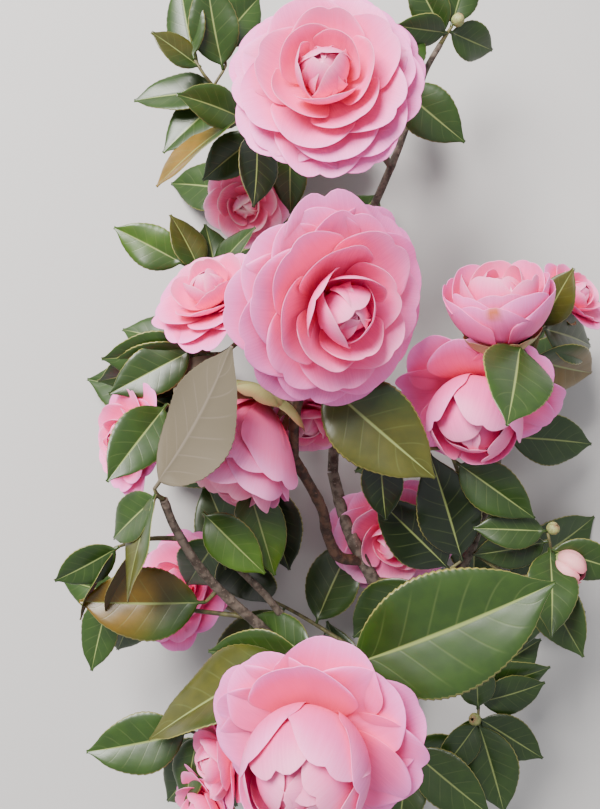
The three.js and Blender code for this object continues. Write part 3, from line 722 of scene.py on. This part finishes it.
def blade_skin(name):
    """Leaf skin from each corner's place (along, across, side): a tinted, mottled green above with
    yellow-green midrib, veins and rim, and a pale matte grey-brown below."""
    skin = Finish(name)
    place = skin.node("Attribute", {"attribute_name": "place"})
    along, across, side = skin.node("SeparateXYZ", Vector=place.outputs["Vector"]).outputs
    tint = skin.node("Attribute", {"attribute_name": "tint"}).outputs["Color"]
    off = skin.worked("ABSOLUTE", across)
    vein_place = skin.worked("SUBTRACT", along, skin.worked("MULTIPLY", off, VEIN_SLANT))
    vein = skin.worked("FRACT", skin.worked("MULTIPLY", vein_place, VEINS))
    vein = skin.worked("ABSOLUTE", skin.worked("SUBTRACT", vein, 0.5))
    vein = skin.worked("MULTIPLY", skin.rise(vein, 0.07, 0.0), skin.rise(off, 0.95, 0.5))
    midrib = skin.rise(off, 0.05, 0.012)
    rim = skin.rise(off, 0.95, 0.99)
    mottle = skin.rise(skin.noise(scale=130, detail=5), 0.3, 0.7)
    shade = skin.blend(mottle, (0.84, 0.86, 0.86), (1.16, 1.12, 1.0))
    upper = skin.blend(1, tint, shade, "MULTIPLY")
    upper = skin.blend(skin.worked("MULTIPLY", vein, 0.16), upper, VEIN_COLOUR)
    upper = skin.blend(skin.worked("MULTIPLY", midrib, 0.8), upper, MIDRIB_COLOUR)
    upper = skin.blend(skin.worked("MULTIPLY", rim, 0.6), upper, RIM_COLOUR)
    veined = skin.worked("MAXIMUM", skin.worked("MULTIPLY", vein, 0.5), midrib)
    lower = skin.blend(veined, UNDERSIDE, UNDERSIDE_VEIN)
    facing = skin.rise(side, 0.35, 0.65)
    rough = skin.node("MapRange", Value=facing, To_Min=UNDERSIDE_ROUGHNESS, To_Max=UPPER_ROUGHNESS)
    skin.give(skin.shader, Base_Color=skin.blend(facing, lower, upper), Roughness=rough.outputs["Result"])
    furrow = skin.worked("MULTIPLY", skin.worked("MAXIMUM", vein, midrib), -1)
    grain = skin.worked("MULTIPLY", skin.noise(scale=900, detail=3), 0.35)
    skin.relief(skin.worked("ADD", furrow, grain), strength=0.08, depth=0.0003)
    return skin.material


sprays = [(Growth(), []) for _ in range(SPRAYS)]
twigs = Growth()
buds = []
for name, mass in MASSES.items():
    blades, names = min(sprays, key=lambda spray: spray[0].count)
    names.append(name)
    budded = mass.get("buds", [[]] * len(mass["twigs"]))
    for index, path in enumerate(mass["twigs"]):
        line = line_of(path)
        foot = TWIG_TIP if index else TWIG
        fine = curve_points(through(path), max(6, 2 * len(line)))
        share = np.linspace(0, 1, len(fine))
        twigs.add(tube(fine, foot + (TWIG_TIP - foot) * share, TWIG_SIDES))
        for number, (place, *values) in enumerate(mass["leaves"][index]):
            tint = TINTS[COLOURED.get(name, {}).get((index, number), "green")]
            leaf(blades, on_line(line, place), *values, row(*tint) * chance.uniform(*TINT_CHANCE))
        for place, heading, rise, size in budded[index]:
            buds.append((on_line(line, place), aim(heading, rise), size))

green_bark = bark("young bark", YOUNG_DARK, YOUNG_PALE, 0.6)
leaf_skin = blade_skin("leaf")
leafy = [(twigs.piece("twigs", green_bark), list(MASSES))]
for number, (blades, names) in enumerate(sprays):
    leafy.append((blades.piece(f"leaf_blades_{number + 1}", leaf_skin), names))
for piece, names in leafy:
    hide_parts(*names)
    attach(piece, "root")

# Blooms: thin cupped petals set by the golden angle from the rim to the heart, with round, ruffled
# ends, on a calyx of rounded green sepals and a short stalk that starts in a bough or twig.
# A bud is a ball of closed scales, which are made as the sepals are.

BLOOM = 78
PETAL_THICK = 0.4
PETAL_STATIONS = np.concatenate([np.linspace(0, 0.94, 13), (0.975, 0.993, 1)])
FOOT_REACH = 0.06
PETAL_ROUND = 0.3
NOTCH_WIDTH = 0.13
PETAL_COLUMNS = row(1, 0.985, 0.92, 0.82, 0.7, 0.56, 0.42, 0.28, 0.14, 0)
SEPAL_COLUMNS = row(1, 0.985, 0.9, 0.74, 0.5, 0.25, 0)
GOLDEN_ANGLE = math.radians(137.5)
# The least and the most of what differs from petal to petal: notch, curl of the end, and where the wide
# and the fine wave start.
PETAL_CHANCES = ((0, 0, 0, 0), (0.06, 1, 6, 6))
PALE_CHANCE = (0.94, 1.05)
LENGTH_CHANCE = (0.95, 1.03)
FOOT_TILT = 3
END_TILT = 4
TURN_CHANCE = 0.1
PETAL_ROOT = (0.95, 0.055, 0.18)
PETAL_PINK = (1.0, 0.12, 0.38)
PETAL_RIM = (1.0, 0.225, 0.62)
PETAL_HEART = (1.0, 0.27, 0.5)
SEPAL_ROOT = (0.2, 0.24, 0.07)
SEPAL_GREEN = (0.34, 0.34, 0.12)
SEPAL_RIM = (0.3, 0.17, 0.08)
SCALE_PINK = row(2.9, 1.1, 3.2)
NO_TINT = row(1, 1, 1)
# Painted light: what the blooms that sit in shade have their colours multiplied by, to paint them lighter.
PAINTED_LIGHT_LIFT = {
    "bloom_top_left": row(1, 2.0, 1.15), "bloom_far_low": row(1, 1.5, 1.1),
    "bloom_behind": row(1, 1.5, 1.1), "bloom_under": row(1, 1.3, 1.0),
}
# A brown bruise on the petals of a bloom whose share is below BRUISED_SHARE: its place as seen from
# above, and its radius.
BRUISES = {"bloom_right_cup": (81, 38.3, 3)}
BRUISE_TINT = row(0.62, 0.75, 0.07)
BRUISED_SHARE = 0.3
# Each form's petals from the rim to the heart: their share of the way, their elevation at the foot and
# at the end, and their length, half width and cup's radius as shares of the bloom's radius.
STAGES = {
    "full": [
        [0.00, 24, -14, 1.00, 0.49, 1.80],
        [0.30, 20, 4, 0.90, 0.48, 1.30],
        [0.50, 14, 30, 0.80, 0.45, 0.90],
        [0.64, 8, 74, 0.70, 0.39, 0.60],
        [0.76, 22, 98, 0.60, 0.34, 0.42],
        [0.84, 26, 156, 0.62, 0.36, 0.31],
        [1.00, 42, 172, 0.52, 0.34, 0.25],
    ],
    "globe": [
        [0.00, 26, -16, 0.96, 0.50, 1.40],
        [0.36, 20, 6, 0.90, 0.50, 1.00],
        [0.40, 6, 110, 1.02, 0.50, 0.62],
        [0.62, 4, 138, 1.18, 0.46, 0.55],
        [0.80, 10, 164, 1.20, 0.42, 0.46],
        [1.00, 34, 172, 1.06, 0.38, 0.34],
    ],
    "cup": [
        [0.00, 4, 90, 0.94, 0.54, 0.66],
        [0.50, 16, 100, 0.92, 0.45, 0.46],
        [0.72, 30, 116, 0.84, 0.40, 0.36],
        [0.86, 40, 146, 0.76, 0.38, 0.30],
        [1.00, 44, 172, 0.60, 0.36, 0.26],
    ],
    "fan": [
        [0.00, 26, 68, 0.86, 0.46, 0.70],
        [0.30, 32, 78, 0.96, 0.44, 0.58],
        [0.60, 36, 88, 0.96, 0.40, 0.44],
        [0.86, 40, 140, 0.84, 0.38, 0.30],
        [1.00, 44, 172, 0.60, 0.36, 0.26],
    ],
}
# How many times more petals each form has than the part's plain solids.
FINE_COUNT = {"full": 3.2, "globe": 2.3, "cup": 3.0, "fan": 3.0}
# Each form's sepals: where they start, how much steeper than the petals they end, length and half width.
SEPALS = {
    "full": (-12, 14, 0.44, 0.24), "globe": (-12, 14, 0.44, 0.24), "cup": (0, 28, 0.52, 0.31),
    "fan": (-12, 14, 0.5, 0.24),
}
SEPAL_COUNT = 9
SEPALS_A_RING = 5
SHORT_SEPAL = 0.34
SEPAL_CUP = 0.34
SEPAL_RUFFLE = 0.006
SCALE_RUFFLE = 0.004
BUD_SCALES = 8
LARGE_BUD = 12
# Each bloom's centre, the heading and rise that it faces, its width, its form, how many petals its plain
# solid has, the share that its rim starts at, the foot of its stalk, and its turn in degrees.
BLOOMS = {
    "bloom_centre": {
        "at": [10, 45, 132], "face": [-36, 57], "across": 1.2 * BLOOM,
        "form": "full", "petals": 12, "open": 0, "stalk": ["bough_knee", 1], "turn": 45,
    },
    "bloom_top": {
        "at": [12, 134, 134], "face": [130, 80], "across": 1.08 * BLOOM,
        "form": "full", "petals": 12, "open": 0, "stalk": ["twig_top", 1], "turn": 21,
    },
    "bloom_bottom": {
        "at": [9, -130, 150], "face": [-125, 66], "across": 1.18 * BLOOM,
        "form": "globe", "petals": 12, "open": 0, "stalk": ["twig_bottom", 1], "turn": 21,
    },
    "bloom_left": {
        "at": [-36, 43, 114], "face": [120, 42], "across": 0.8 * BLOOM,
        "form": "full", "petals": 8, "open": 0.05, "stalk": ["twig_left", 1], "turn": 0,
    },
    "bloom_left_low": {
        "at": [-74, -16, 94], "face": [176, 42], "across": 0.72 * BLOOM,
        "form": "full", "petals": 8, "open": 0.15, "stalk": ["twig_left_low", 1], "turn": 9,
    },
    "bloom_under": {
        "at": [-17, 2, 108.5], "face": [-117, 9], "across": 1.28 * BLOOM,
        "form": "fan", "petals": 8, "open": 0, "stalk": ["bough_knee", 0.44], "turn": 9,
    },
    "bloom_behind": {
        "at": [4, -1, 84], "face": [-90, 40], "across": 0.7 * BLOOM,
        "form": "full", "petals": 6, "open": 0.3, "stalk": ["bough_grey_high", 0.27], "turn": 25,
    },
    "bloom_right": {
        "at": [86, 12, 90], "face": [-108, 38], "across": 1.04 * BLOOM,
        "form": "globe", "petals": 8, "open": 0, "stalk": ["bough_right", 0.96], "turn": 0,
    },
    "bloom_right_cup": {
        "at": [91, 27, 113], "face": [98, 26], "across": 1.02 * BLOOM,
        "form": "cup", "petals": 8, "open": 0, "stalk": ["bough_right", 1], "turn": 57,
    },
    "bloom_far_low": {
        "at": [48, -66, 38], "face": [-80, 66], "across": 0.92 * BLOOM,
        "form": "full", "petals": 8, "open": 0.05, "stalk": ["bough_grey_low", 0.47], "turn": 9,
    },
    "bloom_left_hidden": {
        "at": [-58, -98, 44], "face": [150, 50], "across": 0.85 * BLOOM,
        "form": "full", "petals": 8, "open": 0.1, "stalk": ["bough_left", 0.55], "turn": 0,
    },
    "bloom_bottom_left": {
        "at": [-28, -156, 118], "face": [-170, 26], "across": 0.7 * BLOOM,
        "form": "full", "petals": 6, "open": 0.3, "stalk": ["twig_bottom_left", 1], "turn": 0,
    },
    "bloom_bottom_edge": {
        "at": [-38, -186, 98], "face": [-160, 40], "across": 0.66 * BLOOM,
        "form": "full", "petals": 6, "open": 0.3, "stalk": ["twig_bottom_left", 0.8], "turn": 0,
    },
    "bloom_top_left": {
        "at": [-28, 104, 58], "face": [-80, 66], "across": 0.64 * BLOOM,
        "form": "full", "petals": 6, "open": 0.3, "stalk": ["bough_grey_high", 0.93], "turn": 0,
    },
    "bloom_far_right": {
        "at": [130, 49, 74], "face": [40, 40], "across": 0.62 * BLOOM,
        "form": "full", "petals": 6, "open": 0.35, "stalk": ["bough_right", 0.88], "turn": 9,
    },
}


def stage_at(form, share):
    """The row of a form's STAGES at that share, its columns interpolated."""
    table = np.array(STAGES[form])
    return [np.interp(share, table[:, 0], table[:, column]) for column in range(6)]


def stood(axis):
    """The least turn that takes +Z to axis, as columns x, y and z: I + K + K^2 / (1 + c), K the cross
    product with Z x axis and c their cosine."""
    v, c = np.cross((0, 0, 1), axis), axis[2]
    k = np.array([[0, -v[2], v[1]], [v[2], 0, -v[0]], [-v[1], v[0], 0]])
    return np.eye(3) + k + k @ k / (1 + c)


def petal(growth, centre, frame_of, stage, turn, radius, base, ruffle, tint, bruise=None):
    """A petal's point at s along and x across: the arc whose elevation goes from start to end, at
    s (1 - PETAL_ROUND s |x|^2.8 - notch), bent across on a circle of radius cup, with two waves that
    grow to the tip and a last stretch that curls back. Its foot is base above the bloom's centre, and
    base and ruffle are shares of the radius."""
    share, start, end, length, half, cup = stage
    start, end = math.radians(start), math.radians(end)
    x = both_sides(SEPAL_COLUMNS if growth is sepals else PETAL_COLUMNS)
    s = PETAL_STATIONS[:, None]
    notch, curl, wide_start, fine_start = chance.uniform(*PETAL_CHANCES)

    notched = notch * s**3 * np.exp(-((x / NOTCH_WIDTH) ** 2))
    grown = s * (1 - PETAL_ROUND * s * np.abs(x) ** 2.8 - notched)
    tilt = start + (end - start) * grown
    run = length * radius / (end - start)
    reach = FOOT_REACH * radius + run * (np.sin(tilt) - math.sin(start))
    height = base * radius - run * (np.cos(tilt) - math.cos(start))
    bend = cup * radius
    bow = x * half * radius * np.sin(math.pi * (0.07 + 0.57 * s**0.85)) / bend
    wide_wave = s**2 * np.sin(2.6 * x + 2 * s + wide_start)
    fine_wave = 0.4 * s**4 * np.sin(6.1 * x + fine_start)
    wave = ruffle * radius * (wide_wave + fine_wave - 1.2 * curl * s**8)

    out = row(math.cos(turn), math.sin(turn), 0)
    across = row(math.sin(turn), -math.cos(turn), 0)
    upward = row(0, 0, 1)
    normal = -np.sin(tilt)[..., None] * out + np.cos(tilt)[..., None] * upward
    face = normal * np.cos(bow)[..., None] - across * np.sin(bow)[..., None]
    sheet = reach[..., None] * out + height[..., None] * upward
    sheet = sheet + (bend * np.sin(bow))[..., None] * across
    sheet = sheet + (bend * (1 - np.cos(bow)))[..., None] * normal + wave[..., None] * face
    thick = PETAL_THICK * (1 - np.abs(x) ** 16) * (1 - 0.6 * s**8)
    top = (sheet + (thick / 2)[..., None] * face) @ frame_of.T + centre
    under = (sheet - (thick / 2)[..., None] * face) @ frame_of.T + centre

    over = np.stack(np.broadcast_arrays(s, x, share), axis=-1)
    tints = np.broadcast_to(tint, top.shape)
    if bruise:
        away = np.hypot(top[..., 0] - bruise[0], top[..., 1] - bruise[1])
        tints = tints * (1 + np.exp(-((away / bruise[2]) ** 4))[..., None] * (BRUISE_TINT - 1))
    growth.add(skin_rings(top, under), place=skin_rings(over, over), tint=skin_rings(tints, tints))


def petal_skin(name, root, middle, rim, heart, fade):
    """Petal skin from each corner's place: root, middle and rim colours along it, the rim's turning to
    heart toward the middle of the bloom, fine streaks along its veins, and light that passes a little
    way through."""
    skin = Finish(name)
    place = skin.node("Attribute", {"attribute_name": "place"}).outputs["Vector"]
    along, _, share = skin.node("SeparateXYZ", Vector=place).outputs
    tint = skin.node("Attribute", {"attribute_name": "tint"}).outputs["Color"]
    colour = skin.blend(skin.rise(along, 0.0, fade), root, middle)
    edge = skin.blend(skin.rise(share, 0.3, 0.75), rim, heart)
    colour = skin.blend(skin.rise(along, 0.7, 1.05), colour, edge)
    veins = skin.node("Mapping", Vector=place, Scale=(2, 18, 30)).outputs[0]
    streaks = skin.noise(scale=1.6, detail=3, place=veins)
    streak = skin.blend(skin.rise(streaks, 0.35, 0.7), (0.96, 0.92, 0.94), (1.03, 1.05, 1.04))
    colour = skin.blend(1, colour, streak, "MULTIPLY")
    colour = skin.blend(1, colour, tint, "MULTIPLY")
    skin.give(skin.shader, Base_Color=colour, Roughness=0.55, Subsurface_Weight=0.3)
    skin.give(skin.shader, Subsurface_Radius=(1.0, 0.35, 0.5), Subsurface_Scale=0.003)
    skin.relief(streaks, strength=0.12, depth=0.0003)
    return skin.material


petals = {}
sepals = Growth()
stalks = Growth()
for name, values in BLOOMS.items():
    form = values["form"]
    radius = values["across"] / 2
    axis = aim(*values["face"])
    centre = row(*values["at"])
    frame_of = stood(axis)
    count = round(FINE_COUNT[form] * values["petals"])
    petals[name] = Growth()
    for k in range(count):
        share = values["open"] + (1 - values["open"]) * (k / (count - 1)) ** 1.1
        stage = stage_at(form, share)
        loose = 1 - 0.75 * ease(0.35, 0.7, share)
        stage[1] += loose * chance.uniform(-FOOT_TILT, FOOT_TILT)
        stage[2] += loose * chance.uniform(-END_TILT, END_TILT)
        stage[3] *= chance.uniform(*LENGTH_CHANCE)
        turn = math.radians(values["turn"]) + k * GOLDEN_ANGLE + chance.uniform(-TURN_CHANCE, TURN_CHANCE)
        base = 0.02 + 0.2 * share
        ruffle = 0.004 + 0.013 * loose
        # Blooms that sit in shade get painted light: their colours are multiplied up so they look lighter.
        tint = chance.uniform(*PALE_CHANCE) * PAINTED_LIGHT_LIFT.get(name, NO_TINT)
        bruise = BRUISES.get(name) if share < BRUISED_SHARE else None
        petal(petals[name], centre, frame_of, stage, turn, radius, base, ruffle, tint, bruise)
    outer = stage_at(form, values["open"])
    rise = outer[1] + 0.4 * (outer[2] - outer[1])
    start, steeper, longest, wide = SEPALS[form]
    for k in range(SEPAL_COUNT):
        ring = k // SEPALS_A_RING
        stage = [0, start, rise + steeper, (longest, SHORT_SEPAL)[ring], wide, SEPAL_CUP]
        turn = k * 2 * math.pi / SEPALS_A_RING + 0.6 * ring
        petal(sepals, centre, frame_of, stage, turn, radius, -0.07 - 0.02 * ring, SEPAL_RUFFLE, NO_TINT)
    stalk = [values["stalk"], centre - 0.3 * radius * axis, centre - 0.04 * radius * axis]
    fine = curve_points(through(stalk), 10)
    stalks.add(tube(fine, np.linspace(TWIG, TWIG + 0.8, len(fine)), TWIG_SIDES))

for root, axis, size in buds:
    centre = root + axis * size * 0.06
    for k in range(BUD_SCALES):
        pink_tip = size > LARGE_BUD and k > 2
        end = (165, 150)[pink_tip] + 2 * k
        length = (1.9, 2.5)[pink_tip] + 0.04 * k
        stage = [0, 0, end, length, 0.85, 0.8 - 0.04 * k]
        tint = SCALE_PINK if pink_tip else NO_TINT
        turn = k * GOLDEN_ANGLE
        base = 0.02 + 0.02 * k
        petal(sepals, centre, stood(axis), stage, turn, size / 2, base, SCALE_RUFFLE, tint)

calyx_skin = petal_skin("sepal", SEPAL_ROOT, SEPAL_GREEN, SEPAL_RIM, SEPAL_RIM, 0.5)
pink_skin = petal_skin("petal", PETAL_ROOT, PETAL_PINK, PETAL_RIM, PETAL_HEART, 0.6)
blossom = [(sepals.piece("sepals", calyx_skin), list(BLOOMS))]
blossom.append((stalks.piece("stalks", green_bark), list(BLOOMS)))
for name, growth in petals.items():
    blossom.append((growth.piece(name + "_petals", pink_skin), [name]))
for piece, names in blossom:
    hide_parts(*names)
    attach(piece, "root")

# The floor and the light: a plain pale floor, a soft pale sky and one large soft lamp from the upper
# left, under a camera that looks straight down.

# The floor and the lamp are in metres, and the camera's height and its sensor in millimetres.
FLOOR_HALF = 3
FLOOR_COLOUR = (0.48, 0.47, 0.46)
SKY_COLOUR = (0.95, 0.96, 1, 1)
SKY_STRENGTH = 0.75
LAMP_WATTS = 62
LAMP_COLOUR = (1, 0.97, 0.94)
LAMP_ACROSS = 0.8
LAMP_PLACE = (-0.55, 0.75, 1.15)
LAMP_TURN = (math.radians(-38), math.radians(-25), 0)
CAMERA_HEIGHT = 520
SENSOR = 36
FOCAL_PIXELS = 900
PICTURE_HEIGHT = 809

floor_mesh = bpy.data.meshes.new("floor")
floor_corners = [(x * FLOOR_HALF, y * FLOOR_HALF, 0) for x, y in ((-1, -1), (1, -1), (1, 1), (-1, 1))]
floor_mesh.from_pydata(floor_corners, [], [(0, 1, 2, 3)])
floor = bpy.data.objects.new("floor", floor_mesh)
bpy.context.scene.collection.objects.link(floor)
plain = Finish("floor")
plain.give(plain.shader, Base_Color=FLOOR_COLOUR, Roughness=0.9)
floor_mesh.materials.append(plain.material)

sky = bpy.data.worlds.new("sky")
sky.use_nodes = True
sky.node_tree.nodes["Background"].inputs["Color"].default_value = SKY_COLOUR
sky.node_tree.nodes["Background"].inputs["Strength"].default_value = SKY_STRENGTH
bpy.context.scene.world = sky

lamp = bpy.data.lights.new("window", "AREA")
lamp.shape = "DISK"
lamp.size = LAMP_ACROSS
lamp.energy = LAMP_WATTS
lamp.color = LAMP_COLOUR
light = bpy.data.objects.new("window", lamp)
light.location = LAMP_PLACE
light.rotation_euler = LAMP_TURN
bpy.context.scene.collection.objects.link(light)

lens = bpy.data.cameras.new("camera")
lens.sensor_width = SENSOR
lens.lens = SENSOR * FOCAL_PIXELS / PICTURE_HEIGHT
lens.clip_start = 0.01
camera = bpy.data.objects.new("camera", lens)
camera.location = row(0, 0, CAMERA_HEIGHT) / 1000 + SHIFT
bpy.context.scene.collection.objects.link(camera)
bpy.context.scene.camera = camera
